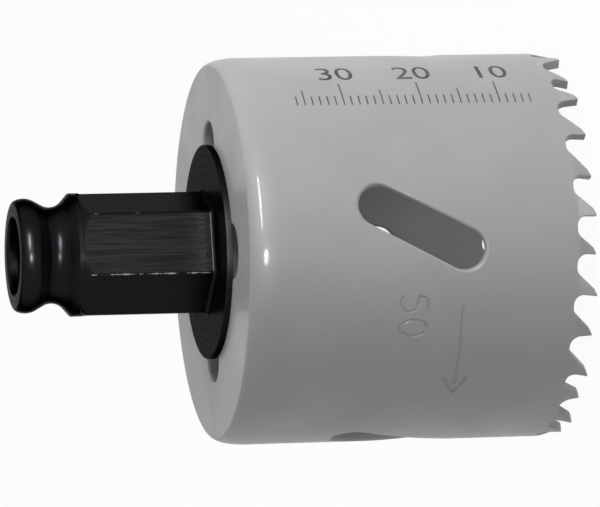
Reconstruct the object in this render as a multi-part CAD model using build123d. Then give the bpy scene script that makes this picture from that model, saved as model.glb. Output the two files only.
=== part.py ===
from build123d import *
import os
from math import acos, asin, atan2, cos, hypot, pi, radians, sin, tan

# Hole saw: a toothed steel cup with a quick-change adapter screwed into its cap. It stands on its
# tooth tips. The origin is the centre of the circle of tips, and +Z runs up the axis to the shank.
# Sizes are in millimetres. Angles are in degrees, and those of places round the saw are about Z.

# Cup
CUT_DIAMETER = 50.0        # circle cut by the teeth that are bent outwards
CUP_LENGTH = 44.0          # tooth tips to the cap's outer face
WALL = 1.2                 # thickness of the rolled band

# Teeth
TOOTH_COUNT = 29
FIRST_TIP_ANGLE = -118.6   # a tooth with the longest gullet behind it
PITCH_WAVES = 6            # times that the pitch grows and shrinks round the cup
PITCH_SWING = 0.072        # how far a tip strays from even spacing, in mean pitches
TOOTH_SET = 0.45           # how far a set tooth's tip is bent in or out
SET_PATTERN = (-1, 1, -1, 1, 0)   # in, out, in, out, straight
BEND_BELOW_FLOOR = 0.4     # from a mean gullet's floor down to where a set tooth starts to lean
TIP_LAND = 0.2             # width of the flat left on a tip
RELIEF_LENGTH = 0.8        # first slope behind the tip
RELIEF_ANGLE = 27.0
RAKE = 4.0                 # hook of the cutting face
GULLET_DEPTH = 2.6         # at the mean pitch
GULLET_RADIUS = 1.25
GULLET_FLOOR = 0.4         # short level stretch at the top of a gullet

# Chip slots
SLOT_COUNT = 4
SLOT_WIDTH = 5.2
SLOT_LENGTH = 17.3
SLOT_SLANT = 28.0          # from the cup's axis
SLOT_BELOW_FACE = 21.8     # cap's outer face down to the slot's centre
FIRST_SLOT_ANGLE = -84.1

# Cap
CORNER_HEIGHT = 3.7        # rounded corner, measured down the side
CORNER_INSET = 1.0         # rounded corner, measured in from the side
RIM_LAND = 0.2             # straight stretch of the rim between the corner and the band's end
CAP_STEP = 1.9             # how deep the cap sits inside the band
BAND_FIT = 0.03            # radial gap between the band and the cap's step
PIN_HOLE_COUNT = 4
PIN_HOLE_DIAMETER = 6.6
PIN_CIRCLE_DIAMETER = 26.4
FIRST_PIN_ANGLE = -90.0

# Adapter: its heights are measured up from the cap's outer face
THREAD_DIAMETER = 15.875   # 5/8 inch, 18 threads to the inch
THREAD_FIT = 0.05          # radial gap between the spigot and the cap
SPIGOT_OVERHANG = 2.2      # threaded end that stands out under the cap
SPIGOT_CHAMFER = 0.9
FLANGE_DIAMETER = 27.2
FLANGE_THICKNESS = 0.8
FLANGE_EDGE_CHAMFER = 0.15
SHANK_DIAMETER = 15.6      # round bar, on which the hexagon is milled
HEX_ACROSS_FLATS = 13.7
HEX_FLAT_ANGLE = -79.2     # direction that one flat faces
HEX_FLAT_BELOW_GROOVE = 3.15   # middle of a flat's rounded end, down from the groove
HEX_CUTTER_DIAMETER = 14.0
SHANK_ROOT_FILLET = 0.5
SHOULDER_ANGLE = 48.0      # slope from the bar into the snap groove, from the axis
GROOVE_DIAMETER = 12.16    # at the groove's floor
GROOVE_BELOW_END = 4.65
GROOVE_RADIUS = 2.15
LIP_DIAMETER = 14.5
LIP_BELOW_END = 1.35       # of the lip's widest ring
LIP_RADIUS = 2.5           # crown of the lip
LIP_END_FILLET = 0.6
ADAPTER_HEIGHT = 25.4
BORE_DIAMETER = 9.6
BORE_CHAMFER = 0.3

# Worked out from the sizes above
BODY_RADIUS = CUT_DIAMETER / 2 - TOOTH_SET
INNER_RADIUS = BODY_RADIUS - WALL
MID_RADIUS = BODY_RADIUS - WALL / 2
BAND_TOP = CUP_LENGTH - CORNER_HEIGHT - RIM_LAND
CAP_THICKNESS = CORNER_HEIGHT + RIM_LAND + CAP_STEP
BEND_HEIGHT = GULLET_DEPTH - BEND_BELOW_FLOOR
SPIGOT_LENGTH = CAP_THICKNESS + SPIGOT_OVERHANG
GROOVE_HEIGHT = ADAPTER_HEIGHT - GROOVE_BELOW_END
HEX_FLAT_END = GROOVE_HEIGHT - HEX_FLAT_BELOW_GROOVE
LIP_HEIGHT = ADAPTER_HEIGHT - LIP_BELOW_END
MEAN_PITCH_ANGLE = 360 / TOOTH_COUNT
MEAN_PITCH = 2 * MID_RADIUS * tan(radians(MEAN_PITCH_ANGLE / 2))
CUT_MARGIN = 2.0           # how far a cutting tool reaches past the metal on each side


def polar(centre, radius, angle):
    """Point at a distance and a direction, in radians, from a centre."""
    return centre[0] + radius * cos(angle), centre[1] + radius * sin(angle)


def wall_plane(angle, height):
    """Plane outside the wall that faces the axis: x runs clockwise round the cup and y runs up."""
    turn = radians(angle)
    outwards = Vector(cos(turn), sin(turn), 0)
    origin = outwards * (CUT_DIAMETER / 2 + CUT_MARGIN) + Vector(0, 0, height)
    return Plane(origin=origin, x_dir=(sin(turn), -cos(turn), 0), z_dir=-outwards)


def wall_cutter(face):
    """Cutter of that outline, long enough to go through one side of the cup."""
    return extrude(face, amount=WALL + TOOTH_SET + 2 * CUT_MARGIN)


# Band


def tip_angle(tooth):
    """Direction of a tooth's tip. The teeth are numbered clockwise, seen from the shank."""
    swing = PITCH_SWING * sin(2 * pi * PITCH_WAVES * tooth / TOOTH_COUNT)
    return FIRST_TIP_ANGLE - MEAN_PITCH_ANGLE * (tooth + swing)


def gullet_outline(tooth):
    """Gullet between a tooth's cutting face and the back of the next tooth, about its middle."""
    half_angle = radians(tip_angle(tooth) - tip_angle(tooth + 1)) / 2
    half_pitch = MID_RADIUS * tan(half_angle)
    depth = GULLET_DEPTH * half_pitch * 2 / MEAN_PITCH
    arc_height = depth - GULLET_RADIUS
    rake = radians(RAKE)
    relief = radians(RELIEF_ANGLE)

    tip = (-half_pitch, 0)
    arc_side = tip[0] + GULLET_RADIUS / cos(rake) - arc_height * tan(rake)
    face_arc = (arc_side, arc_height)
    face_end = polar(face_arc, GULLET_RADIUS, pi - rake)
    face_knee = polar(face_arc, GULLET_RADIUS, (3 * pi / 2 - rake) / 2)
    floor_start = polar(face_arc, GULLET_RADIUS, pi / 2)

    next_tip = (half_pitch - TIP_LAND, 0)
    relief_end = polar(next_tip, RELIEF_LENGTH, pi - relief)
    back_arc = (arc_side + GULLET_FLOOR, arc_height)
    run = relief_end[0] - back_arc[0]
    drop = relief_end[1] - back_arc[1]
    back_angle = atan2(drop, run) + acos(GULLET_RADIUS / hypot(run, drop))
    floor_end = polar(back_arc, GULLET_RADIUS, pi / 2)
    back_knee = polar(back_arc, GULLET_RADIUS, (pi / 2 + back_angle) / 2)
    back_start = polar(back_arc, GULLET_RADIUS, back_angle)

    edges = [
        Line(tip, face_end),
        ThreePointArc(face_end, face_knee, floor_start),
        Line(floor_start, floor_end),
        ThreePointArc(floor_end, back_knee, back_start),
        Polyline(back_start, relief_end, next_tip),
        Polyline(next_tip, (next_tip[0], -CUT_MARGIN), (tip[0], -CUT_MARGIN), tip),
    ]
    return make_face(Curve() + edges)


def gullet_cutter(tooth):
    middle = (tip_angle(tooth) + tip_angle(tooth + 1)) / 2
    return wall_cutter(wall_plane(middle, 0) * gullet_outline(tooth))


def leaning_wall(tooth):
    """Stretch of wall that one tooth is cut from, bent in or out below the bend."""
    lean = TOOTH_SET * SET_PATTERN[tooth % len(SET_PATTERN)]
    section = Polyline(
        (INNER_RADIUS + lean, 0),
        (BODY_RADIUS + lean, 0),
        (BODY_RADIUS, BEND_HEIGHT),
        (INNER_RADIUS, BEND_HEIGHT),
        close=True,
    )
    face_side = tip_angle(tooth) - MEAN_PITCH_ANGLE / 8
    back_side = tip_angle(tooth - 1) - MEAN_PITCH_ANGLE * 3 / 8
    wall = revolve(Plane.XZ * make_face(section), axis=Axis.Z, revolution_arc=back_side - face_side)
    return Rot(0, 0, face_side) * wall


def slot_cutter(slot):
    """Round-ended slot through the wall, whose upper end leans anticlockwise, seen from the shank."""
    angle = FIRST_SLOT_ANGLE + slot * 360 / SLOT_COUNT
    plane = wall_plane(angle, CUP_LENGTH - SLOT_BELOW_FACE)
    outline = Rot(0, 0, 90 + SLOT_SLANT) * SlotOverall(SLOT_LENGTH, SLOT_WIDTH)
    return wall_cutter(plane * outline)


def make_saw_band():
    ring = Cylinder(BODY_RADIUS, BAND_TOP - BEND_HEIGHT) - Cylinder(INNER_RADIUS, BAND_TOP - BEND_HEIGHT)
    band = Pos(0, 0, (BAND_TOP + BEND_HEIGHT) / 2) * ring
    band += [leaning_wall(tooth) for tooth in range(TOOTH_COUNT)]
    band -= [gullet_cutter(tooth) for tooth in range(TOOTH_COUNT)]
    band -= [slot_cutter(slot) for slot in range(SLOT_COUNT)]
    return band


# Cap


def cap_section():
    """Half section of the cap: full-width rim with a rounded corner, and a step inside the band."""
    step_radius = INNER_RADIUS - BAND_FIT
    hole_radius = THREAD_DIAMETER / 2 + THREAD_FIT
    underside = CUP_LENGTH - CAP_THICKNESS
    corner_foot = (BODY_RADIUS, CUP_LENGTH - CORNER_HEIGHT)
    corner_top = (BODY_RADIUS - CORNER_INSET, CUP_LENGTH)
    sides = Polyline(
        corner_top,
        (hole_radius, CUP_LENGTH),
        (hole_radius, underside),
        (step_radius, underside),
        (step_radius, BAND_TOP),
        (BODY_RADIUS, BAND_TOP),
        corner_foot,
    )
    corner_centre = (corner_top[0], corner_foot[1])
    corner = EllipticalCenterArc(corner_centre, CORNER_INSET, CORNER_HEIGHT, arc_size=90)
    return make_face(Curve() + [sides, corner])


def make_end_cap():
    cap = revolve(Plane.XZ * cap_section(), axis=Axis.Z)
    for hole in range(PIN_HOLE_COUNT):
        turn = radians(FIRST_PIN_ANGLE + hole * 360 / PIN_HOLE_COUNT)
        x, y = polar((0, 0), PIN_CIRCLE_DIAMETER / 2, turn)
        drill = Cylinder(PIN_HOLE_DIAMETER / 2, CAP_THICKNESS + 2 * CUT_MARGIN)
        cap -= Pos(x, y, CUP_LENGTH - CAP_THICKNESS / 2) * drill
    return cap


# Adapter


def groove_and_lip():
    """Outline from the shank's shoulder through the snap groove and over the lip's crown."""
    shoulder = radians(SHOULDER_ANGLE)
    groove = (GROOVE_DIAMETER / 2 + GROOVE_RADIUS, GROOVE_HEIGHT)
    lip = (LIP_DIAMETER / 2 - LIP_RADIUS, LIP_HEIGHT)
    between = (lip[0] - groove[0], lip[1] - groove[1])
    centre_distance = hypot(between[0], between[1])
    slope = atan2(between[0], between[1]) + asin((GROOVE_RADIUS + LIP_RADIUS) / centre_distance)
    lip_end_angle = asin((ADAPTER_HEIGHT - LIP_HEIGHT) / LIP_RADIUS)

    groove_start = polar(groove, GROOVE_RADIUS, -pi + shoulder)
    shoulder_drop = (SHANK_DIAMETER / 2 - groove_start[0]) / tan(shoulder)
    shoulder_start = (SHANK_DIAMETER / 2, groove_start[1] - shoulder_drop)
    groove_middle = polar(groove, GROOVE_RADIUS, pi)
    groove_end = polar(groove, GROOVE_RADIUS, pi - slope)
    lip_start = polar(lip, LIP_RADIUS, -slope)
    lip_middle = polar(lip, LIP_RADIUS, 0)
    lip_end = polar(lip, LIP_RADIUS, lip_end_angle)
    edges = [
        Line(shoulder_start, groove_start),
        ThreePointArc(groove_start, groove_middle, groove_end),
        Line(groove_end, lip_start),
        ThreePointArc(lip_start, lip_middle, lip_end),
    ]
    return edges, shoulder_start, lip_end


def adapter_section():
    """Half section of the turned blank, with its heights measured from the cap's outer face."""
    bore_radius = BORE_DIAMETER / 2
    thread_radius = THREAD_DIAMETER / 2
    flange_radius = FLANGE_DIAMETER / 2
    crown, shoulder_start, lip_end = groove_and_lip()
    sides = Polyline(
        lip_end,
        (bore_radius + BORE_CHAMFER, ADAPTER_HEIGHT),
        (bore_radius, ADAPTER_HEIGHT - BORE_CHAMFER),
        (bore_radius, -SPIGOT_LENGTH),
        (thread_radius - SPIGOT_CHAMFER, -SPIGOT_LENGTH),
        (thread_radius, -SPIGOT_LENGTH + SPIGOT_CHAMFER),
        (thread_radius, 0),
        (flange_radius, 0),
        (flange_radius, FLANGE_THICKNESS - FLANGE_EDGE_CHAMFER),
        (flange_radius - FLANGE_EDGE_CHAMFER, FLANGE_THICKNESS),
        (SHANK_DIAMETER / 2, FLANGE_THICKNESS),
        shoulder_start,
    )
    section = make_face(Curve() + [*crown, sides])
    lip_corner = section.vertices().sort_by_distance((*lip_end, 0))[0]
    section = fillet(lip_corner, LIP_END_FILLET)
    root = section.vertices().sort_by_distance((SHANK_DIAMETER / 2, FLANGE_THICKNESS, 0))[0]
    return fillet(root, SHANK_ROOT_FILLET)


def flat_cutter(flat):
    """Cutter that mills one flat of the hexagon, from a filleted root up to a round end."""
    turn = radians(HEX_FLAT_ANGLE + flat * 60)
    outwards = Vector(cos(turn), sin(turn), 0)
    plane = Plane(origin=outwards * HEX_ACROSS_FLATS / 2, x_dir=(-sin(turn), cos(turn), 0), z_dir=outwards)
    arc_height = HEX_FLAT_END - HEX_CUTTER_DIAMETER / 2
    straight = arc_height - FLANGE_THICKNESS
    path = Pos(0, FLANGE_THICKNESS + straight / 2) * Rectangle(HEX_CUTTER_DIAMETER, straight)
    path += Pos(0, arc_height) * Circle(HEX_CUTTER_DIAMETER / 2)
    cutter = extrude(plane * path, amount=SHANK_DIAMETER)
    root = cutter.edges().sort_by_distance(plane.origin + Vector(0, 0, FLANGE_THICKNESS))[0]
    return fillet(root, SHANK_ROOT_FILLET)


def make_adapter():
    adapter = revolve(Plane.XZ * adapter_section(), axis=Axis.Z)
    adapter -= [flat_cutter(flat) for flat in range(6)]
    return Pos(0, 0, CUP_LENGTH) * adapter


PARTS = {
    "saw_band": make_saw_band,
    "end_cap": make_end_cap,
    "adapter": make_adapter,
}

os.makedirs("parts", exist_ok=True)
for name, make in PARTS.items():
    export_step(make(), f"parts/{name}.step")
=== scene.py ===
from bisect import bisect
from math import acos, asin, atan2, ceil, cos, hypot, pi, radians, sin, sqrt, tan

import bmesh
import bpy
from bpy.props import FloatProperty, FloatVectorProperty, IntProperty, PointerProperty
from mathutils import Matrix, Vector


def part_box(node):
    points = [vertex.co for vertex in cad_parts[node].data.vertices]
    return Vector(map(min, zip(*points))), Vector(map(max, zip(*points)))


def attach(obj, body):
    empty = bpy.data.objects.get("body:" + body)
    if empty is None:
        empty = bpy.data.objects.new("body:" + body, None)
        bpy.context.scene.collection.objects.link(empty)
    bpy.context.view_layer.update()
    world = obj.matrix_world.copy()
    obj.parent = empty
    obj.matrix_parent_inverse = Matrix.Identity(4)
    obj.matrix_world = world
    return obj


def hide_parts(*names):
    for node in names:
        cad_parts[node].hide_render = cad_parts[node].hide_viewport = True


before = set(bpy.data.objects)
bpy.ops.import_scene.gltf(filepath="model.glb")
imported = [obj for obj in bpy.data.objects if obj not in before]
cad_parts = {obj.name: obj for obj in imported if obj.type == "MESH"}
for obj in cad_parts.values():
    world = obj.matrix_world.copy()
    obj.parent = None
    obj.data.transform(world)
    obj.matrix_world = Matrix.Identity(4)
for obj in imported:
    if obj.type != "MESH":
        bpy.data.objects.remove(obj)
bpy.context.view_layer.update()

bl_info = {
    "name": "Hole Saw",
    "version": (1, 0, 0),
    "blender": (4, 5, 0),
    "location": "View3D > Sidebar > Hole Saw",
    "description": "Builds a hole saw with its quick-change adapter, finishes and studio",
    "category": "Add Mesh",
}

MM = 0.001
BODY = "root"
# Teeth from the first tip on: in, out, in, out, straight
TOOTH_SET_PATTERN = (-1, 1, -1, 1, 0)
# Edges that turn further than this stay sharp
SHARP_ENAMEL = radians(24)
SHARP_STEEL = radians(17)
# Faces of the band that lean no further than this from the cylinder are part of it
CYLINDER_TOLERANCE = radians(2)
# Points nearer than this are one point
SAME_POINT = 0.0005 * MM
# The strip's two ends are joined where they are nearer than this
SEAM_REACH = 0.002 * MM
# Longest straight run in what is stamped or printed round the band
ROLLED_STEP = 0.4 * MM
# Steps round the cup, a hole and a slot's round end
CUP_STEPS = 240
HOLE_STEPS = 72
SLOT_END_STEPS = 28
# Levels at which the strip is cut for the teeth's lean, in parts of the bend's height
LEVEL_CUTS = (0.45, 0.88, 0.94, 1.0, 1.06, 1.12, 1.6, 7, 12, 16)
# Rounding of the strip's upper edge, which sits tight under the cap
SEATED_ROUNDING = 0.01 * MM
# Level crest and sloping flank of the thread, in parts of half a turn
THREAD_CREST = 0.14
THREAD_FLANK = 0.72
# Font size that gives digits of height 1
DIGIT_SCALE = 1.38
# Where the hexagon's edges are rubbed bare: between two radii, between two heights
BARE_RADII = (7.66 * MM, 7.95 * MM)
BARE_ABOVE_FACE = 1.6 * MM
BARE_BELOW_END = 0.8 * MM
# Strength of the edge gloss of the turned and of the milled steel
TURNED_SHEEN = 0.34
MILLED_SHEEN = 0.47
FLOOR_WHITE = (0.95, 0.95, 0.95)
# Lamps: name, place, width and height, power, and whether it shows in a gloss instead of lighting
LAMPS = (
    ("key_lamp", (0.36, -0.19, 0.16), (0.5, 0.24), 1.25, False),
    ("gloss_strip", (0.38, -0.69, 0.18), (0.46, 0.03), 10.0, True),
    ("gloss_front", (-0.05, -0.8, 0.11), (0.12, 0.1), 5.0, True),
)

# Heights and radii of the parts in model.glb, in metres
CAP_LOW, CAP_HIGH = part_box("end_cap")
BAND_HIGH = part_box("saw_band")[1]
ADAPTER_LOW, ADAPTER_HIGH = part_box("adapter")
FACE_HEIGHT = CAP_HIGH[2]
CAP_UNDERSIDE = CAP_LOW[2]
BAND_TOP = BAND_HIGH[2]
BODY_RADIUS = CAP_HIGH[0]
FLANGE_RADIUS = ADAPTER_HIGH[0]
ADAPTER_TOP = ADAPTER_HIGH[2]
SPIGOT_END = ADAPTER_LOW[2]


# Settings


def length(name, millimetres, description):
    return FloatProperty(
        name=name,
        description=description,
        default=millimetres * MM,
        unit="LENGTH",
        precision=5,
    )


def angle(name, degrees, description):
    return FloatProperty(
        name=name,
        description=description,
        default=radians(degrees),
        subtype="ANGLE",
        unit="ROTATION",
    )


def amount(name, value, description):
    return FloatProperty(name=name, description=description, default=value, precision=3)


def count(name, value, description):
    return IntProperty(name=name, description=description, default=value, min=1)


def colour(name, value, description):
    return FloatVectorProperty(
        name=name, description=description, default=value, subtype="COLOR", size=3, min=0, max=1
    )


class BandSettings(bpy.types.PropertyGroup):
    wall: length("Wall", 1.2, "Thickness of the rolled strip")
    tooth_count: count("Teeth", 29, "Number of teeth round the band")
    first_tip: angle("First tip", -118.6, "Direction of a tooth with the longest gullet")
    pitch_waves: count("Pitch waves", 6, "Times that the pitch grows and shrinks round the band")
    pitch_swing: amount("Pitch swing", 0.072, "How far a tip strays from even spacing, in pitches")
    tooth_set: length("Tooth set", 0.45, "How far a set tooth's tip is bent in or out")
    bend_height: length("Bend height", 2.2, "Height at which a set tooth starts to lean")
    tip_land: length("Tip land", 0.2, "Width of the flat left on a tip")
    relief_length: length("Relief length", 0.8, "Length of the first slope behind the tip")
    relief_angle: angle("Relief angle", 27, "Slope behind the tip")
    rake: angle("Rake", 4, "Hook of the cutting face")
    gullet_depth: length("Gullet depth", 2.6, "Depth of a gullet of mean pitch")
    gullet_radius: length("Gullet radius", 1.25, "Rounding at the top of a gullet")
    gullet_floor: length("Gullet floor", 0.4, "Level stretch at the top of a gullet")
    slot_count: count("Slots", 4, "Number of chip slots")
    slot_width: length("Slot width", 5.2, "Width of a chip slot")
    slot_length: length("Slot length", 17.3, "Length of a chip slot over its round ends")
    slot_slant: angle("Slot slant", 28, "Lean of a chip slot from the axis")
    slot_drop: length("Slot drop", 21.8, "From the cap's face down to the slot's centre")
    first_slot: angle("First slot", -84.1, "Direction of the first chip slot")
    slot_rounding: length("Slot rounding", 0.4, "Soft painted edge of a chip slot")
    edge_rounding: length("Edge rounding", 0.1, "Soft painted edge of the teeth")
    seam_direction: angle("Seam direction", 140.9, "Where the rolled strip's two ends meet")
    facet: length("Facet", 0.64, "Width of one facet of the rolled strip")


class CapSettings(bpy.types.PropertyGroup):
    corner_height: length("Corner height", 3.7, "Rounded corner, measured down the side")
    corner_inset: length("Corner inset", 1.0, "Rounded corner, measured in from the side")
    band_fit: length("Band fit", 0.03, "Gap between the band and the cap's step")
    thread_fit: length("Thread fit", 0.05, "Gap between the spigot and the cap")
    hole_count: count("Pin holes", 4, "Number of drive-pin holes")
    hole_diameter: length("Hole diameter", 6.6, "Diameter of a drive-pin hole")
    circle_diameter: length("Hole circle", 26.4, "Diameter of the circle of drive-pin holes")
    hole_rounding: length("Hole rounding", 0.4, "Soft painted edge of a drive-pin hole")
    edge_chamfer: length("Edge chamfer", 0.3, "Small chamfer at hidden edges")


class AdapterSettings(bpy.types.PropertyGroup):
    thread_diameter: length("Thread diameter", 15.875, "Outer diameter of the spigot's thread")
    thread_pitch: length("Thread pitch", 25.4 / 18, "Distance from one thread to the next")
    thread_depth: length("Thread depth", 0.8, "Depth of the thread")
    spigot_chamfer: length("Spigot chamfer", 0.9, "Chamfer at the spigot's end")
    flange_thickness: length("Flange thickness", 0.8, "Height of the flange above the cap")
    flange_edge: length("Flange edge", 0.15, "Rounding of the flange's rim")
    shank_diameter: length("Shank diameter", 15.6, "Round bar on which the hexagon is milled")
    across_flats: length("Across flats", 13.7, "Hexagon's width across its flats")
    flat_direction: angle("Flat direction", -79.2, "Direction that one flat of the hexagon faces")
    flat_below_groove: length("Flat end", 3.15, "Flat's round end, down from the groove")
    cutter_diameter: length("Cutter diameter", 14.0, "Diameter of a flat's round end")
    root_fillet: length("Root fillet", 0.5, "Rounding between the hexagon and the flange")
    shoulder_angle: angle("Shoulder angle", 48, "Slope from the bar into the snap groove")
    groove_diameter: length("Groove diameter", 12.16, "Diameter at the snap groove's floor")
    groove_below_end: length("Groove position", 4.65, "Groove's floor, down from the adapter's end")
    groove_radius: length("Groove radius", 2.15, "Rounding of the snap groove")
    lip_diameter: length("Lip diameter", 14.5, "Widest diameter of the lip")
    lip_below_end: length("Lip position", 1.35, "Lip's widest ring, down from the adapter's end")
    lip_radius: length("Lip radius", 2.5, "Crown of the lip")
    lip_fillet: length("Lip fillet", 0.6, "Rounding between the lip and the end face")
    bore_diameter: length("Bore diameter", 9.6, "Diameter of the through bore")
    bore_chamfer: length("Bore chamfer", 0.3, "Chamfer at the bore's mouth")


class MarkSettings(bpy.types.PropertyGroup):
    ink: length("Ink", 0.012, "Thickness of the printed ink")
    line: length("Line", 0.16, "Width of a printed line")
    scale_bottom: length("Scale bottom", 6, "Lowest tick of the depth scale, above the tips")
    scale_step: length("Scale step", 1, "Distance between two ticks")
    tick_count: count("Ticks", 31, "Number of ticks on the depth scale")
    short_tick: length("Short tick", 1.7, "Length of a plain tick")
    middle_tick: length("Middle tick", 2.9, "Length of every fifth tick")
    long_tick: length("Long tick", 4.4, "Length of every tenth tick")
    scale_direction: angle("Scale direction", -43, "Direction of the depth scale's base line")
    digit_height: length("Digit height", 3.6, "Height of a printed digit")
    stamp_height: length("Stamp height", 3.5, "Height of the stamped size")
    stamp_radius: length("Stamp radius", 0.24, "Radius of the stamp's round cutting edge")
    stamp_depth: length("Stamp depth", 0.19, "Depth of the stamped strokes")
    stamp_direction: angle("Stamp direction", -104, "Direction of the stamped size's first digit")
    stamp_level: length("Stamp level", 25, "Foot of the stamped size, above the tips")
    arrow_level: length("Arrow level", 17, "Height of the stamped arrow above the tips")
    arrow_length: length("Arrow length", 13, "Length of the stamped arrow")


class FinishSettings(bpy.types.PropertyGroup):
    enamel: colour("Enamel", (0.44, 0.442, 0.442), "Light grey paint of the cup")
    enamel_shade: colour("Enamel patches", (0.412, 0.415, 0.416), "Darker patches in the paint")
    enamel_roughness: amount("Enamel roughness", 0.4, "Gloss of the paint")
    oxide: colour("Black oxide", (0.0095, 0.01, 0.0108), "Black skin of the adapter")
    milled_oxide: colour("Milled oxide", (0.0105, 0.0113, 0.0113), "Black skin of the flats")
    oxide_shade: colour("Oxide patches", (0.0115, 0.012, 0.0125), "Lighter patches in the skin")
    bare_steel: colour("Bare steel", (0.27, 0.26, 0.24), "Steel where the skin is worn off")
    ink: colour("Ink", (0.018, 0.018, 0.017), "Printing on the cup")


class StageSettings(bpy.types.PropertyGroup):
    distance: length("Distance", 730, "From the camera to the middle of the cap's face")
    elevation: angle("Elevation", 11.7, "Camera's height above the plane of the cap's face")
    roll: angle("Roll", 1.27, "Lean of the saw's axis in the picture")
    focal_pixels: amount("Focal length", 5752.4, "Camera's focal length in pixels")
    picture_width: count("Picture width", 600, "Width of the picture in pixels")
    aim_right: length("Aim right", 11.33, "Picture's middle, right of the cap's face")
    aim_down: length("Aim down", 0.2, "Picture's middle, below the cap's face")
    floor_size: length("Floor size", 6000, "Width of the floor")
    ambient: amount("Ambient", 0.4, "Strength of the even light from all round")
    floor_glow: amount("Floor glow", 0.95, "Share of the floor's white that shadows leave")


class HoleSawSettings(bpy.types.PropertyGroup):
    band: PointerProperty(type=BandSettings)
    cap: PointerProperty(type=CapSettings)
    adapter: PointerProperty(type=AdapterSettings)
    marks: PointerProperty(type=MarkSettings)
    finish: PointerProperty(type=FinishSettings)
    stage: PointerProperty(type=StageSettings)


# Nodes


def add_node(tree, kind, inputs=None, **options):
    """Adds a node, sets it and connects it. An input takes a value or another node's output."""
    node = tree.nodes.new(kind)
    for name, value in options.items():
        setattr(node, name, value)
    for name, value in (inputs or {}).items():
        if isinstance(value, bpy.types.NodeSocket):
            tree.links.new(value, node.inputs[name])
        else:
            node.inputs[name].default_value = value
    return node


def calculate(tree, operation, *values):
    inputs = dict(enumerate(values))
    return add_node(tree, "ShaderNodeMath", inputs, operation=operation).outputs[0]


def product(tree, first, *others):
    for value in others:
        first = calculate(tree, "MULTIPLY", first, value)
    return first


def scaled(tree, vector, factors):
    inputs = {0: vector, 1: factors}
    return add_node(tree, "ShaderNodeVectorMath", inputs, operation="MULTIPLY").outputs[0]


def add_sockets(tree, in_out, sockets):
    for name, kind in sockets.items():
        tree.interface.new_socket(name=name, in_out=in_out, socket_type="NodeSocket" + kind)


def new_group(name, kind, inputs, outputs):
    """New node group with named sockets, and its input and output nodes."""
    tree = bpy.data.node_groups.new(name, kind)
    add_sockets(tree, "INPUT", inputs)
    add_sockets(tree, "OUTPUT", outputs)
    return tree, tree.nodes.new("NodeGroupInput"), tree.nodes.new("NodeGroupOutput")


def new_geometry_group(name, inputs):
    return new_group(name, "GeometryNodeTree", inputs, {"Geometry": "Geometry"})


# Geometry node trees


def rolling_group():
    """Rolls what lies flat, with x along the strip and y out of it, clockwise round the saw's axis.

    The attribute tooth_set says how far the strip leans out at its lowest edge.
    """
    inputs = {
        "Geometry": "Geometry",
        "Rolling Radius": "Float",
        "Start Angle": "Float",
        "Bend Height": "Float",
    }
    tree, given, result = new_geometry_group("roll_round_axis", inputs)
    position = add_node(tree, "GeometryNodeInputPosition").outputs[0]
    flat = add_node(tree, "ShaderNodeSeparateXYZ", {0: position}).outputs
    tooth_set = add_node(
        tree, "GeometryNodeInputNamedAttribute", {"Name": "tooth_set"}, data_type="FLOAT"
    ).outputs["Attribute"]
    below_bend = calculate(tree, "SUBTRACT", given.outputs["Bend Height"], flat["Z"])
    share = calculate(tree, "DIVIDE", below_bend, given.outputs["Bend Height"])
    soft_share = calculate(tree, "SMOOTH_MAX", share, 0.0, 0.12)
    lean = calculate(tree, "MULTIPLY", soft_share, tooth_set)
    depth = calculate(tree, "ADD", flat["Y"], lean)
    radius = calculate(tree, "ADD", given.outputs["Rolling Radius"], depth)
    turn = calculate(tree, "DIVIDE", flat["X"], given.outputs["Rolling Radius"])
    direction = calculate(tree, "SUBTRACT", given.outputs["Start Angle"], turn)
    x = calculate(tree, "MULTIPLY", radius, calculate(tree, "COSINE", direction))
    y = calculate(tree, "MULTIPLY", radius, calculate(tree, "SINE", direction))
    rolled = add_node(tree, "ShaderNodeCombineXYZ", {"X": x, "Y": y, "Z": flat["Z"]}).outputs[0]
    moved = add_node(
        tree, "GeometryNodeSetPosition", {"Geometry": given.outputs["Geometry"], "Position": rolled}
    )
    tree.links.new(moved.outputs[0], result.inputs["Geometry"])
    return tree


def rolled_strip_tree(rolling):
    """Rolls a flat strip and joins its two ends."""
    inputs = {
        "Geometry": "Geometry",
        "Rolling Radius": "Float",
        "Start Angle": "Float",
        "Bend Height": "Float",
        "Join Distance": "Float",
        "Material": "Material",
    }
    tree, given, result = new_geometry_group("rolled_strip", inputs)
    roll = add_node(tree, "GeometryNodeGroup", node_tree=rolling)
    for name in ("Geometry", "Rolling Radius", "Start Angle", "Bend Height"):
        tree.links.new(given.outputs[name], roll.inputs[name])
    joined = add_node(
        tree,
        "GeometryNodeMergeByDistance",
        {"Geometry": roll.outputs[0], "Distance": given.outputs["Join Distance"]},
    )
    finish_tree(tree, joined.outputs[0], given, result)
    return tree


def finish_tree(tree, geometry, given, result):
    """Ends a tree in real geometry with its material."""
    real = add_node(tree, "GeometryNodeRealizeInstances", {"Geometry": geometry})
    painted = add_node(
        tree,
        "GeometryNodeSetMaterial",
        {"Geometry": real.outputs[0], "Material": given.outputs["Material"]},
    )
    tree.links.new(painted.outputs[0], result.inputs["Geometry"])


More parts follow.
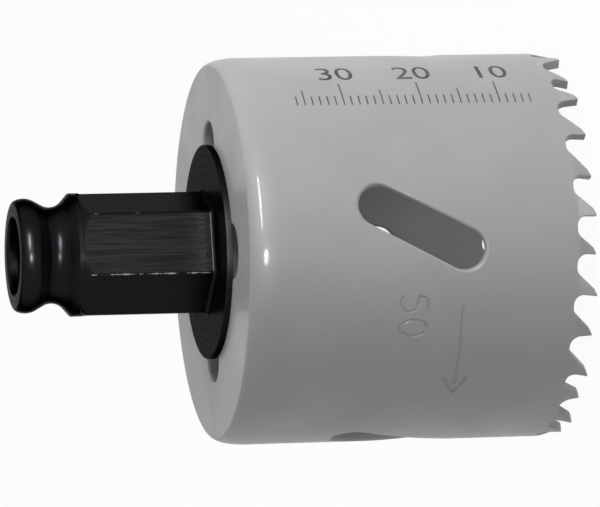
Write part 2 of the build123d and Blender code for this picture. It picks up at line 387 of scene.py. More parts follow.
def tick_tree(rolling):
    """Row of ticks up the saw: each fifth one is longer, and each tenth one longer still."""
    inputs = {
        "Geometry": "Geometry",
        "Ticks": "Int",
        "Step": "Float",
        "Bottom": "Float",
        "Base Line": "Float",
        "Depth": "Float",
        "Line Width": "Float",
        "Ink": "Float",
        "Short": "Float",
        "Middle": "Float",
        "Long": "Float",
        "First Number": "Int",
        "Rolling Radius": "Float",
        "Start Angle": "Float",
        "Material": "Material",
    }
    tree, given, result = new_geometry_group("scale_ticks", inputs)
    index = add_node(tree, "GeometryNodeInputIndex").outputs[0]
    number = calculate(tree, "ADD", index, given.outputs["First Number"])
    fifth = calculate(tree, "COMPARE", calculate(tree, "MODULO", number, 5.0), 0.0, 0.1)
    tenth = calculate(tree, "COMPARE", calculate(tree, "MODULO", number, 10.0), 0.0, 0.1)
    to_middle = calculate(tree, "SUBTRACT", given.outputs["Middle"], given.outputs["Short"])
    to_long = calculate(tree, "SUBTRACT", given.outputs["Long"], given.outputs["Middle"])
    longer = calculate(tree, "MULTIPLY_ADD", fifth, to_middle, given.outputs["Short"])
    tick_length = calculate(tree, "MULTIPLY_ADD", tenth, to_long, longer)

    height = calculate(tree, "MULTIPLY_ADD", index, given.outputs["Step"], given.outputs["Bottom"])
    reach = calculate(tree, "MULTIPLY_ADD", tick_length, -0.5, given.outputs["Base Line"])
    place = add_node(
        tree, "ShaderNodeCombineXYZ", {"X": reach, "Y": given.outputs["Depth"], "Z": height}
    ).outputs[0]
    line = add_node(tree, "GeometryNodeMeshLine", {"Count": given.outputs["Ticks"]}, mode="OFFSET")
    points = add_node(
        tree, "GeometryNodeSetPosition", {"Geometry": line.outputs[0], "Position": place}
    )
    size = add_node(
        tree,
        "ShaderNodeCombineXYZ",
        {"X": tick_length, "Y": given.outputs["Ink"], "Z": given.outputs["Line Width"]},
    ).outputs[0]
    bar = add_node(
        tree,
        "GeometryNodeMeshCube",
        {"Size": (1, 1, 1), "Vertices X": 9, "Vertices Y": 2, "Vertices Z": 2},
    )
    ticks = add_node(
        tree,
        "GeometryNodeInstanceOnPoints",
        {"Points": points.outputs[0], "Instance": bar.outputs["Mesh"], "Scale": size},
    )
    real = add_node(tree, "GeometryNodeRealizeInstances", {"Geometry": ticks.outputs[0]})
    with_rest = add_node(tree, "GeometryNodeJoinGeometry")
    tree.links.new(real.outputs[0], with_rest.inputs[0])
    tree.links.new(given.outputs["Geometry"], with_rest.inputs[0])
    roll = add_node(tree, "GeometryNodeGroup", {"Bend Height": 1.0}, node_tree=rolling)
    tree.links.new(with_rest.outputs[0], roll.inputs["Geometry"])
    for name in ("Rolling Radius", "Start Angle"):
        tree.links.new(given.outputs[name], roll.inputs[name])
    finish_tree(tree, roll.outputs[0], given, result)
    return tree


def set_inputs(modifier, values):
    """Sets a geometry nodes modifier's inputs by their sockets' identifiers."""
    for item in modifier.node_group.interface.items_tree:
        if item.item_type == "SOCKET" and item.in_out == "INPUT" and item.name in values:
            modifier[item.identifier] = values[item.name]


# Meshes


def new_object(name, mesh):
    piece = bpy.data.objects.new(name, mesh)
    bpy.context.scene.collection.objects.link(piece)
    return piece


def object_from(name, form):
    mesh = bpy.data.meshes.new(name)
    form.to_mesh(mesh)
    form.free()
    return new_object(name, mesh)


def apply_all(piece):
    """Turns a piece and its modifiers into one plain mesh."""
    bpy.context.view_layer.update()
    graph = bpy.context.evaluated_depsgraph_get()
    mesh = bpy.data.meshes.new_from_object(
        piece.evaluated_get(graph), preserve_all_data_layers=True, depsgraph=graph
    )
    piece.modifiers.clear()
    piece.data = mesh
    mesh.name = piece.name


def run_tree(piece, tree, values):
    modifier = piece.modifiers.new(tree.name, "NODES")
    modifier.node_group = tree
    set_inputs(modifier, values)
    apply_all(piece)


def smooth(piece, sharp_angle):
    """Smooth shading that keeps large faces flat and edges above the angle sharp."""
    for polygon in piece.data.polygons:
        polygon.use_smooth = True
    piece.data.set_sharp_from_angle(angle=sharp_angle)
    weighted = piece.modifiers.new("weighted_normals", "WEIGHTED_NORMAL")
    weighted.mode = "FACE_AREA"
    weighted.weight = 50
    weighted.keep_sharp = True
    apply_all(piece)


def finish_piece(piece, material, node):
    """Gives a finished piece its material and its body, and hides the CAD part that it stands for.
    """
    piece.data.materials.clear()
    piece.data.materials.append(material)
    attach(piece, BODY)
    if node:
        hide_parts(node)


def arc(centre, radius, start, end, steps):
    turns = [start + (end - start) * step / steps for step in range(steps + 1)]
    return [(centre[0] + radius * cos(t), centre[1] + radius * sin(t)) for t in turns]


def circle(centre, radius, height, steps):
    places = arc(centre, radius, 0, 2 * pi, steps)[:-1]
    return [Vector((x, y, height)) for x, y in places]


def edge_between(form, first, second):
    return form.edges.get((first, second)) or form.edges.new((first, second))


def ring_edges(form, ring):
    return [edge_between(form, ring[i - 1], ring[i]) for i in range(len(ring))]


def bridge_rows(form, rows, around=True):
    """Faces between rows of vertices. A face leaves out a corner that coincides with the next."""
    steps = len(rows[0])
    for low, high in zip(rows, rows[1:]):
        for i in range(steps if around else steps - 1):
            j = (i + 1) % steps
            ring = [low[i], low[j], high[j], high[i]]
            distinct = [c for n, c in enumerate(ring) if (c.co - ring[n - 1].co).length > 1e-8]
            if len(distinct) > 2:
                form.faces.new(distinct)


def cut_at(form, place, direction):
    geometry = form.verts[:] + form.edges[:] + form.faces[:]
    bmesh.ops.bisect_plane(form, geom=geometry, plane_co=place, plane_no=direction, dist=1e-8)


def cut_across(form, step, first, last):
    """Cuts a flat form with planes across x, so that it can be rolled."""
    cuts = ceil((last - first) / step)
    for cut in range(1, cuts):
        cut_at(form, (first + (last - first) * cut / cuts, 0, 0), (1, 0, 0))


# Band


def mid_radius(band):
    return BODY_RADIUS - band.wall / 2


def tip_turn(band, tooth):
    """Turn from the first tip to another, clockwise, seen from the shank."""
    swing = band.pitch_swing * sin(2 * pi * band.pitch_waves * tooth / band.tooth_count)
    return 2 * pi / band.tooth_count * (tooth + swing)


def gullet_line(band, tooth):
    """Edge from a tooth's tip over the gullet behind its cutting face to the next tooth's tip."""
    start = tip_turn(band, tooth) * mid_radius(band)
    end = tip_turn(band, tooth + 1) * mid_radius(band)
    mean_pitch = 2 * pi / band.tooth_count * mid_radius(band)
    depth = band.gullet_depth * (end - start) / mean_pitch
    arc_height = depth - band.gullet_radius
    arc_side = start + band.gullet_radius / cos(band.rake) - arc_height * tan(band.rake)
    back_side = arc_side + band.gullet_floor
    next_tip = end - band.tip_land
    relief_end = (
        next_tip - band.relief_length * cos(band.relief_angle),
        band.relief_length * sin(band.relief_angle),
    )
    run, drop = relief_end[0] - back_side, relief_end[1] - arc_height
    back_angle = atan2(drop, run) + acos(band.gullet_radius / hypot(run, drop))
    line = [(start, 0.0)]
    line += arc((arc_side, arc_height), band.gullet_radius, pi - band.rake, pi / 2, 9)
    line += arc((back_side, arc_height), band.gullet_radius, pi / 2, back_angle, 5)
    line += [relief_end, (next_tip, 0.0)]
    return line


def seam_tooth(band):
    """Tooth before the gullet in which the strip's two ends meet."""
    turn_to_seam = (band.first_tip - band.seam_direction) % (2 * pi)
    return int(turn_to_seam / (2 * pi) * band.tooth_count)


def gullet_top(band, tooth):
    """Middle and height of the level stretch at the top of the gullet behind a tooth."""
    line = gullet_line(band, tooth)
    height = max(point[1] for point in line)
    level = [point[0] for point in line if abs(point[1] - height) < 1e-7]
    return (min(level) + max(level)) / 2, height


def strip_edges(band):
    """Lower and upper edge of the unrolled strip, which ends in the middle of a gullet."""
    seam = seam_tooth(band)
    line = []
    for tooth in range(seam, seam + band.tooth_count + 1):
        line += gullet_line(band, tooth)
    start, height = gullet_top(band, seam)
    end = start + 2 * pi * mid_radius(band)
    between = [point for point in line if start + 1e-6 < point[0] < end - 1e-6]
    lower = [(start, height)] + between + [(end, height)]
    return lower, [(end, BAND_TOP), (start, BAND_TOP)]


def moved_left(line, distance):
    """An open line of points, moved to its own left by a distance."""
    points = [Vector(point) for point in line]
    runs = [(after - before).normalized() for before, after in zip(points, points[1:])]
    moved = []
    for point, first, second in zip(points, runs[:1] + runs, runs + runs[-1:]):
        sides = Vector((-first.y, first.x)) + Vector((-second.y, second.x))
        moved.append(point + sides * distance / (1 + first.dot(second)))
    return moved


def slot_centre(band, slot):
    """Centre of a chip slot: its turn from the first tip, and its height."""
    direction = band.first_slot + 2 * pi * slot / band.slot_count
    return band.first_tip - direction, FACE_HEIGHT - band.slot_drop


def slot_point(band, slot, start, along, across):
    """Point of a chip slot, given along and across it, on the unrolled strip."""
    turn, height = slot_centre(band, slot)
    side = -along * sin(band.slot_slant) + across * cos(band.slot_slant)
    rise = along * cos(band.slot_slant) + across * sin(band.slot_slant)
    first_turn = start / mid_radius(band)
    place = (turn - first_turn) % (2 * pi) + first_turn
    return (place + asin(side / BODY_RADIUS)) * mid_radius(band), height + rise


def slot_ring(band, slot, start, growth):
    """Outline of a chip slot, grown outwards, as points of the strip."""
    radius = band.slot_width / 2 + growth
    half_straight = (band.slot_length - band.slot_width) / 2
    ring = []
    for side, first in ((1, 0.0), (-1, pi)):
        for across, along in arc((0, 0), radius, first, first + pi, SLOT_END_STEPS):
            ring.append((side * half_straight + along, across))
    return [slot_point(band, slot, start, along, across) for along, across in ring]


def rounded_wall(wall, rounding, steps=5):
    """Depth and growth of the rings that line a hole with soft edges, from the outside inwards."""
    turns = [pi / 2 * step / steps for step in range(steps + 1)]
    outer = [(wall / 2 - rounding * (1 - cos(t)), rounding * (1 - sin(t))) for t in turns]
    return outer + [(-depth, growth) for depth, growth in reversed(outer)]


def set_at(band, boundaries, x):
    """Set of the tooth that a place on the strip belongs to: -1 inwards, 1 outwards, 0 straight."""
    tooth = bisect(boundaries, x) + seam_tooth(band)
    return TOOTH_SET_PATTERN[tooth % band.tooth_count % len(TOOTH_SET_PATTERN)]


def flat_band(band):
    """The unrolled strip with its teeth and its soft-edged slots, in real thickness."""
    lower, upper = strip_edges(band)
    start, end = lower[0][0], lower[-1][0]
    form = bmesh.new()
    sides = []
    for line, rounding, steps in ((lower, band.edge_rounding, 4), (upper, SEATED_ROUNDING, 1)):
        rows = []
        for depth, growth in rounded_wall(band.wall, rounding, steps):
            points = moved_left(line, growth)
            rows.append([form.verts.new((point.x, depth, point.y)) for point in points])
        bridge_rows(form, rows, around=False)
        sides.append(rows)
    holes = []
    for slot in range(band.slot_count):
        rows = []
        for depth, growth in rounded_wall(band.wall, band.slot_rounding):
            points = slot_ring(band, slot, start, growth)
            rows.append([form.verts.new((x, depth, z)) for x, z in points])
        bridge_rows(form, rows)
        holes.append(rows)
    for sheet in (0, -1):
        edges = ring_edges(form, sides[0][sheet] + sides[1][sheet])
        for rows in holes:
            edges += ring_edges(form, rows[sheet])
        bmesh.ops.triangle_fill(form, edges=edges, use_beauty=True, use_dissolve=False)
    bmesh.ops.recalc_face_normals(form, faces=form.faces[:])

    for share in LEVEL_CUTS:
        cut_at(form, (0, 0, band.bend_height * share), (0, 0, 1))
    cut_across(form, band.facet, start, end)

    seam = seam_tooth(band)
    teeth = range(seam, seam + band.tooth_count)
    boundaries = [gullet_top(band, tooth)[0] for tooth in teeth]
    layer = form.verts.layers.float.new("tooth_set")
    for vertex in form.verts:
        if vertex.co.z < band.bend_height * 1.3:
            vertex[layer] = band.tooth_set * set_at(band, boundaries, vertex.co.x)
    return form


def radial_normals(piece, tolerance):
    """Gives the rolled faces the normals of a true cylinder."""
    mesh = piece.data
    normals = [Vector(corner.vector) for corner in mesh.corner_normals]
    for polygon in mesh.polygons:
        centre = Vector((polygon.center.x, polygon.center.y, 0)).normalized()
        facing = polygon.normal.dot(centre)
        if abs(facing) < cos(tolerance):
            continue
        for loop in polygon.loop_indices:
            place = mesh.vertices[mesh.loops[loop].vertex_index].co
            direction = Vector((place.x, place.y, 0)).normalized()
            normals[loop] = direction if facing > 0 else -direction
    mesh.normals_split_custom_set(normals)


# Stamped and printed marks

# Strokes of the stamped size, in parts of the digits' height
STAMPED_STROKES = (
    ((0.56, 1.0), (0.12, 1.0)),
    ((0.09, 0.93), (0.05, 0.6)),
    ((0.12, 0.6), (0.22, 0.64), (0.34, 0.64), (0.46, 0.59), (0.56, 0.47), (0.59, 0.32),
     (0.56, 0.17), (0.45, 0.05), (0.3, 0.0), (0.14, 0.03), (0.02, 0.12)),
    ((1.2, 1.0), (1.32, 0.96), (1.42, 0.84), (1.48, 0.66), (1.5, 0.5), (1.48, 0.34), (1.42, 0.16),
     (1.32, 0.04), (1.2, 0.0), (1.08, 0.04), (0.98, 0.16), (0.92, 0.34), (0.9, 0.5), (0.92, 0.66),
     (0.98, 0.84), (1.08, 0.96), (1.2, 1.0)),
)


def finer(points, step):
    """Points along a line of straight runs, no further apart than a step."""
    line = [Vector(points[0])]
    for start, end in zip(points, points[1:]):
        start, end = Vector(start), Vector(end)
        parts = max(1, ceil((end - start).length / step))
        line += [start.lerp(end, part / parts) for part in range(1, parts + 1)]
    return line


def stroke(points, radius, depth, sides=12):
    """Round rod along a line of points of the strip, standing in the strip's outer face."""
    form = bmesh.new()
    closed = (points[0] - points[-1]).length < 1e-7
    line = points[:-1] if closed else points
    rows = []
    for i, point in enumerate(line):
        before = line[i - 1] if i or closed else point
        after = line[(i + 1) % len(line)] if i + 1 < len(line) or closed else point
        along = (after - before).normalized()
        side = Vector((along.y, -along.x))
        row = []
        for turn in range(sides):
            across = radius * cos(2 * pi * turn / sides)
            out = depth + radius * sin(2 * pi * turn / sides)
            row.append(form.verts.new((point.x + side.x * across, out, point.y + side.y * across)))
        rows.append(row)
    if closed:
        bridge_rows(form, rows + [rows[0]])
    else:
        bridge_rows(form, rows)
        form.faces.new(rows[0])
        form.faces.new(rows[-1])
    bmesh.ops.recalc_face_normals(form, faces=form.faces[:])
    return form


def stamped_lines(band, marks):
    """Lines of the stamped digits and of the arrow that shows the way the saw turns."""
    height = marks.stamp_height
    base = (band.first_tip - marks.stamp_direction) % (2 * pi) * mid_radius(band)
    lines = []
    for digit in STAMPED_STROKES:
        lines.append([(base + u * height, marks.stamp_level - v * height) for u, v in digit])
    tail = base + marks.arrow_length * 0.1
    tip = tail + marks.arrow_length
    barb = marks.arrow_length * 0.14
    level = marks.arrow_level
    lines.append([(tail, level), (tip - barb * 0.9, level)])
    lines.append([(tip - barb * 1.5, level + barb * 0.8), (tip, level)])
    # The second barb ends short of the tip, so that no two rods end in one point
    barb_end = (tip - marks.stamp_radius, level - 0.0001)
    lines.append([(tip - barb * 1.5, level - barb * 0.8), barb_end])
    return lines


def flat_digits(text, height, ink):
    """Plain digits as a flat mesh that stands on the origin."""
    curve = bpy.data.curves.new("digits", "FONT")
    curve.body = text
    curve.size = height * DIGIT_SCALE
    curve.extrude = ink / 2
    curve.align_x = "CENTER"
    curve.resolution_u = 6
    writing = new_object("digits", curve)
    bpy.context.view_layer.update()
    graph = bpy.context.evaluated_depsgraph_get()
    mesh = bpy.data.meshes.new_from_object(writing.evaluated_get(graph))
    form = bmesh.new()
    form.from_mesh(mesh)
    bpy.data.objects.remove(writing)
    bpy.data.curves.remove(curve)
    bpy.data.meshes.remove(mesh)
    return form


# Adapter


def flats_end(adapter):
    """Height at which the hexagon's flats end."""
    return ADAPTER_TOP - adapter.groove_below_end - adapter.flat_below_groove


def shank_crown(adapter):
    """Outline from the shank's shoulder through the snap groove and over the lip."""
    top = ADAPTER_TOP
    slope_down = adapter.shoulder_angle
    groove_height = top - adapter.groove_below_end
    groove = (adapter.groove_diameter / 2 + adapter.groove_radius, groove_height)
    lip = (adapter.lip_diameter / 2 - adapter.lip_radius, top - adapter.lip_below_end)
    between = (lip[0] - groove[0], lip[1] - groove[1])
    reach = (adapter.groove_radius + adapter.lip_radius) / hypot(*between)
    slope = atan2(between[0], between[1]) + asin(reach)
    line = arc(groove, adapter.groove_radius, -pi + slope_down, -pi - slope, 16)
    shoulder_drop = (adapter.shank_diameter / 2 - line[0][0]) / tan(slope_down)
    shoulder = (adapter.shank_diameter / 2, line[0][1] - shoulder_drop)

    fillet = adapter.lip_fillet
    fillet_height = top - fillet
    fillet_out = sqrt((adapter.lip_radius - fillet) ** 2 - (fillet_height - lip[1]) ** 2)
    fillet_centre = (lip[0] + fillet_out, fillet_height)
    lip_end = atan2(fillet_height - lip[1], fillet_out)
    line += arc(lip, adapter.lip_radius, -slope, lip_end, 16)
    line += arc(fillet_centre, fillet, lip_end, pi / 2, 6)[1:]
    return shoulder, line


def thread_profile(share):
    """Depth of a thread with blunt crests, from 0 at a crest to 1 at a root, over one turn."""
    from_crest = abs((share + 0.5) % 1 - 0.5) * 2
    return min(1.0, max(0.0, (from_crest - THREAD_CREST) / THREAD_FLANK))


def adapter_columns(adapter):
    """Directions of the columns, each as its turn and its turn from the nearest flat's middle."""
    land = acos(adapter.across_flats / adapter.shank_diameter)
    steps = 22
    spread = [-pi / 6] + [-land + 2 * land * step / steps for step in range(steps + 1)]
    columns = []
    for flat in range(6):
        middle = adapter.flat_direction + flat * pi / 3
        columns += [(middle + turn, turn) for turn in spread]
    return columns


def adapter_rows(adapter):
    """Closed run of rows: each gives the radius and the height at a column."""
    bar = adapter.shank_diameter / 2
    flat = adapter.across_flats / 2
    flange_top = FACE_HEIGHT + adapter.flange_thickness
    shoulder, crown = shank_crown(adapter)
    cutter = adapter.cutter_diameter / 2
    cutter_height = flats_end(adapter) - cutter

    def plain(radius, height):
        return lambda direction, turn: (radius, height)

    def fluted(offset, height):
        return lambda direction, turn: (min((flat + offset) / cos(turn), bar + offset), height)

    def flat_end(turn):
        across = min(flat * tan(abs(turn)), sqrt(bar ** 2 - flat ** 2))
        return cutter_height + sqrt(cutter ** 2 - across ** 2)

    def on_flat(share):
        base = flange_top + adapter.root_fillet
        return lambda direction, turn: (
            min(flat / cos(turn), bar), base + share * (flat_end(turn) - base)
        )

    edge = adapter.flange_edge
    rows = [plain(FLANGE_RADIUS, FACE_HEIGHT)]
    for x, z in arc((FLANGE_RADIUS - edge, flange_top - edge), edge, 0, pi / 2, 4):
        rows.append(plain(x, z))
    rows.append(plain(bar + adapter.root_fillet * 1.6, flange_top))
    for step in range(7):
        turn = pi / 2 * step / 6
        offset = adapter.root_fillet * (1 - sin(turn))
        rows.append(fluted(offset, flange_top + adapter.root_fillet * (1 - cos(turn))))
    rows += [on_flat(share) for share in (0.25, 0.5, 0.75, 1.0)]
    for share in (0.0, 0.35, 1.0):
        rows.append(lambda direction, turn, share=share: (
            bar, flat_end(turn) + share * (shoulder[1] - flat_end(turn))
        ))
    rows += [plain(x, z) for x, z in crown]
    bore = adapter.bore_diameter / 2
    chamfer = adapter.bore_chamfer
    rows += [plain(bore + chamfer, ADAPTER_TOP), plain(bore, ADAPTER_TOP - chamfer)]
    rows += [plain(bore, SPIGOT_END + chamfer), plain(bore + chamfer, SPIGOT_END)]

    thread = adapter.thread_diameter / 2
    root = thread - adapter.thread_depth
    lowest = thread - adapter.spigot_chamfer
    rows.append(plain(lowest - chamfer, SPIGOT_END))
    steps = ceil((FACE_HEIGHT - SPIGOT_END) / adapter.thread_pitch * 12)
    for step in range(steps + 1):
        height = SPIGOT_END + (FACE_HEIGHT - SPIGOT_END) * step / steps

        def threaded(direction, turn, height=height):
            share = (height - SPIGOT_END) / adapter.thread_pitch - direction / (2 * pi)
            radius = thread - adapter.thread_depth * thread_profile(share)
            return max(min(radius, lowest + height - SPIGOT_END), min(root, lowest)), height

        rows.append(threaded)
    rows.append(plain(thread, FACE_HEIGHT))
    return rows


# Materials


def new_material(name, tint):
    material = bpy.data.materials.new(name)
    material.use_nodes = True
    material.diffuse_color = (*tint, 1)
    tree = material.node_tree
    tree.nodes.clear()
    shader = tree.nodes.new("ShaderNodeBsdfPrincipled")
    output = tree.nodes.new("ShaderNodeOutputMaterial")
    tree.links.new(shader.outputs[0], output.inputs[0])
    place = tree.nodes.new("ShaderNodeTexCoord").outputs["Object"]
    return material, tree, shader, place


def blend_colours(tree, factor, first, second):
    node = tree.nodes.new("ShaderNodeMix")
    node.data_type = "RGBA"
    for socket, value in ((0, factor), (6, first), (7, second)):
        if isinstance(value, bpy.types.NodeSocket):
            tree.links.new(value, node.inputs[socket])
        else:
            node.inputs[socket].default_value = (*value, 1)
    return node.outputs[2]


def limits(tree, value, low, high, to_low=0.0, to_high=1.0):
    """Maps a value softly from one pair of limits to another."""
    inputs = {"Value": value, "From Min": low, "From Max": high}
    inputs |= {"To Min": to_low, "To Max": to_high}
    return add_node(tree, "ShaderNodeMapRange", inputs, interpolation_type="SMOOTHSTEP").outputs[0]


def mottle_group():
    """Uneven patches and a fine ripple, which every finish has in its own size."""
    inputs = {"Vector": "Vector", "Patch Scale": "Float", "Ripple Scale": "Float"}
    tree, given, result = new_group(
        "mottle", "ShaderNodeTree", inputs, {"Patches": "Float", "Ripple": "Float"}
    )
    for scale, detail, low, high, out in (
        ("Patch Scale", 3.0, 0.36, 0.64, "Patches"),
        ("Ripple Scale", 2.0, 0.2, 0.8, "Ripple"),
    ):
        noise = add_node(
            tree,
            "ShaderNodeTexNoise",
            {"Vector": given.outputs["Vector"], "Scale": given.outputs[scale], "Detail": detail},
        )
        tree.links.new(limits(tree, noise.outputs["Fac"], low, high), result.inputs[out])
    return tree


def mottled(tree, mottle, place, patch_scale, ripple_scale):
    inputs = {"Vector": place, "Patch Scale": patch_scale, "Ripple Scale": ripple_scale}
    return add_node(tree, "ShaderNodeGroup", inputs, node_tree=mottle).outputs


def bump(tree, shader, height, strength, distance):
    node = add_node(
        tree, "ShaderNodeBump", {"Height": height, "Strength": strength, "Distance": distance}
    )
    tree.links.new(node.outputs[0], shader.inputs["Normal"])


def specks(tree, place, scale, share):
    """Small round specks, strewn thinly."""
    cells = add_node(tree, "ShaderNodeTexVoronoi", {"Vector": place, "Scale": scale})
    chance = add_node(tree, "ShaderNodeSeparateColor", {0: cells.outputs["Color"]}).outputs[0]
    chosen = calculate(tree, "LESS_THAN", chance, share)
    return calculate(tree, "MULTIPLY", limits(tree, cells.outputs["Distance"], 0.32, 0.12), chosen)


def enamel_material(finish, mottle):
    material, tree, shader, place = new_material("grey_enamel", finish.enamel)
    worn = mottled(tree, mottle, place, 90.0, 1500.0)
    paint = blend_colours(tree, worn["Patches"], finish.enamel, finish.enamel_shade)
    dust = calculate(tree, "MULTIPLY", specks(tree, place, 420.0, 0.05), 0.4)
    dusty = blend_colours(tree, dust, paint, finish.enamel_shade)
    tree.links.new(dusty, shader.inputs["Base Color"])
    lowest = finish.enamel_roughness
    rough = limits(tree, worn["Patches"], 0.0, 1.0, lowest, lowest + 0.07)
    tree.links.new(rough, shader.inputs["Roughness"])
    shader.inputs["Specular IOR Level"].default_value = 0.16
    shader.inputs["Coat Weight"].default_value = 0.1
    shader.inputs["Coat Roughness"].default_value = 0.08
    bump(tree, shader, worn["Ripple"], 0.12, 0.01 * MM)
    return material


def oxide_material(finish, adapter, name, edge_sheen, mottle):
    """Black skin with tool marks, rubbed through to bare steel along the hexagon's edges."""
    material, tree, shader, place = new_material(name, finish.oxide)
    worn = mottled(tree, mottle, place, 260.0, 2600.0)
    skin = blend_colours(tree, worn["Patches"], finish.oxide, finish.oxide_shade)

    axes = add_node(tree, "ShaderNodeSeparateXYZ", {0: place}).outputs
    direction = calculate(tree, "ARCTAN2", axes["Y"], axes["X"])
    from_edge = calculate(tree, "SUBTRACT", direction, adapter.flat_direction - pi / 6)
    near_edge = calculate(tree, "PINGPONG", from_edge, pi / 6)
    first_edge = calculate(tree, "COSINE", from_edge)
    outwards = scaled(tree, place, (1, 1, 0))
    radius = add_node(
        tree, "ShaderNodeVectorMath", {0: outwards}, operation="LENGTH"
    ).outputs["Value"]
    end = flats_end(adapter)
    beyond = calculate(tree, "GREATER_THAN", radius, BARE_RADII[0])
    within = calculate(tree, "LESS_THAN", radius, BARE_RADII[1])
    above = calculate(tree, "GREATER_THAN", axes["Z"], FACE_HEIGHT + BARE_ABOVE_FACE)
    below = calculate(tree, "LESS_THAN", axes["Z"], end - BARE_BELOW_END)
    on_edge = product(tree, beyond, within, above, below)
    breaks = add_node(
        tree,
        "ShaderNodeTexNoise",
        {"Vector": place, "Scale": 700.0, "Detail": 3.0, "Roughness": 0.65},
    ).outputs["Fac"]
    rubbed = limits(tree, first_edge, 0.85, 1.0, 0.0, 0.16)
    ragged = calculate(tree, "ADD", breaks, rubbed)
    width = limits(tree, ragged, 0.56, 0.82, 0.0, 0.015)
    bare = product(tree, calculate(tree, "LESS_THAN", near_edge, width), on_edge)
    below_end = calculate(tree, "LESS_THAN", axes["Z"], end + 0.05 * MM)
    above_root = calculate(tree, "GREATER_THAN", axes["Z"], FACE_HEIGHT + 1.2 * MM)
    flat_turn = calculate(tree, "SUBTRACT", pi / 6, near_edge)
    flat_reach = product(tree, radius, calculate(tree, "COSINE", flat_turn))
    on_plane = calculate(tree, "COMPARE", flat_reach, adapter.across_flats / 2, 0.03 * MM)
    milled = product(tree, on_plane, below_end, above_root)
    skin = blend_colours(tree, milled, skin, finish.milled_oxide)
    tree.links.new(blend_colours(tree, bare, skin, finish.bare_steel), shader.inputs["Base Color"])
    shader.inputs["Metallic"].default_value = 1.0

    stretched = scaled(tree, place, (1, 1, 0.04))
    scratches = add_node(
        tree, "ShaderNodeTexNoise", {"Vector": stretched, "Scale": 3200.0, "Detail": 2.0}
    ).outputs["Fac"]
    turned = add_node(
        tree, "ShaderNodeCombineXYZ", {"X": radius, "Y": 0.0, "Z": axes["Z"]}
    ).outputs[0]
    rings = add_node(
        tree, "ShaderNodeTexNoise", {"Vector": turned, "Scale": 4200.0, "Detail": 2.0}
    ).outputs["Fac"]
    turned_part = product(tree, calculate(tree, "SUBTRACT", 1.0, milled), rings)
    marks = calculate(tree, "MULTIPLY_ADD", milled, scratches, turned_part)
    rough = limits(tree, marks, 0.3, 0.7, 0.22, 0.32)
    below_root = calculate(tree, "SUBTRACT", 1.0, above_root)
    rough = calculate(tree, "MULTIPLY_ADD", below_root, 0.12, rough)
    tree.links.new(rough, shader.inputs["Roughness"])
    shader.inputs["Specular Tint"].default_value = (edge_sheen, edge_sheen, edge_sheen, 1)
    height = calculate(tree, "MULTIPLY_ADD", worn["Ripple"], 0.4, marks)
    bump(tree, shader, height, 0.2, 0.012 * MM)
    return material


def ink_material(finish, mottle):
    material, tree, shader, place = new_material("printed_ink", finish.ink)
    worn = mottled(tree, mottle, place, 500.0, 2200.0)
    thin = calculate(tree, "MULTIPLY", worn["Patches"], 0.12)
    print_colour = blend_colours(tree, thin, finish.ink, finish.enamel_shade)
    tree.links.new(print_colour, shader.inputs["Base Color"])
    rough = limits(tree, worn["Ripple"], 0.0, 1.0, 0.42, 0.55)
    tree.links.new(rough, shader.inputs["Roughness"])
    bump(tree, shader, worn["Ripple"], 0.1, 0.01 * MM)
    return material


def seen_rays(tree):
    """1 for rays that show the studio, straight or in a gloss, and 0 for rays that light."""
    rays = tree.nodes.new("ShaderNodeLightPath").outputs
    seen = calculate(tree, "MAXIMUM", rays["Is Camera Ray"], rays["Is Transmission Ray"])
    return calculate(tree, "MAXIMUM", seen, rays["Is Glossy Ray"])


# Operators


def settings(context):
    return context.scene.hole_saw


def shared_tree(name, make, *given):
    return bpy.data.node_groups.get(name) or make(*given)


def shared_material(name, make, *given):
    mottle = shared_tree("mottle", mottle_group)
    return bpy.data.materials.get(name) or make(*given, mottle)


class BuildBand(bpy.types.Operator):
    """Rolls the toothed and slotted strip, and stamps the size and the way it turns into it"""

    bl_idname = "hole_saw.build_band"
    bl_label = "Band"

    def execute(self, context):
        band, marks = settings(context).band, settings(context).marks
        rolling = shared_tree("roll_round_axis", rolling_group)
        enamel = shared_material("grey_enamel", enamel_material, settings(context).finish)
        strip = shared_tree("rolled_strip", rolled_strip_tree, rolling)
        values = {
            "Rolling Radius": mid_radius(band),
            "Start Angle": band.first_tip,
            "Bend Height": band.bend_height,
            "Join Distance": SEAM_REACH,
            "Material": enamel,
        }
        piece = object_from("rolled_band", flat_band(band))
        run_tree(piece, strip, values)

        stamps = []
        depth = band.wall / 2 + marks.stamp_radius - marks.stamp_depth
        for number, line in enumerate(stamped_lines(band, marks)):
            form = stroke(finer(line, ROLLED_STEP), marks.stamp_radius, depth)
            stamp = object_from(f"stamp_{number}", form)
            run_tree(stamp, strip, values)
            stamps.append(stamp)
            modifier = piece.modifiers.new("stamped", "BOOLEAN")
            modifier.operation = "DIFFERENCE"
            modifier.solver = "EXACT"
            modifier.object = stamp
        apply_all(piece)
        for stamp in stamps:
            bpy.data.objects.remove(stamp)

        smooth(piece, SHARP_ENAMEL)
        radial_normals(piece, CYLINDER_TOLERANCE)
        finish_piece(piece, enamel, "saw_band")
        return {"FINISHED"}


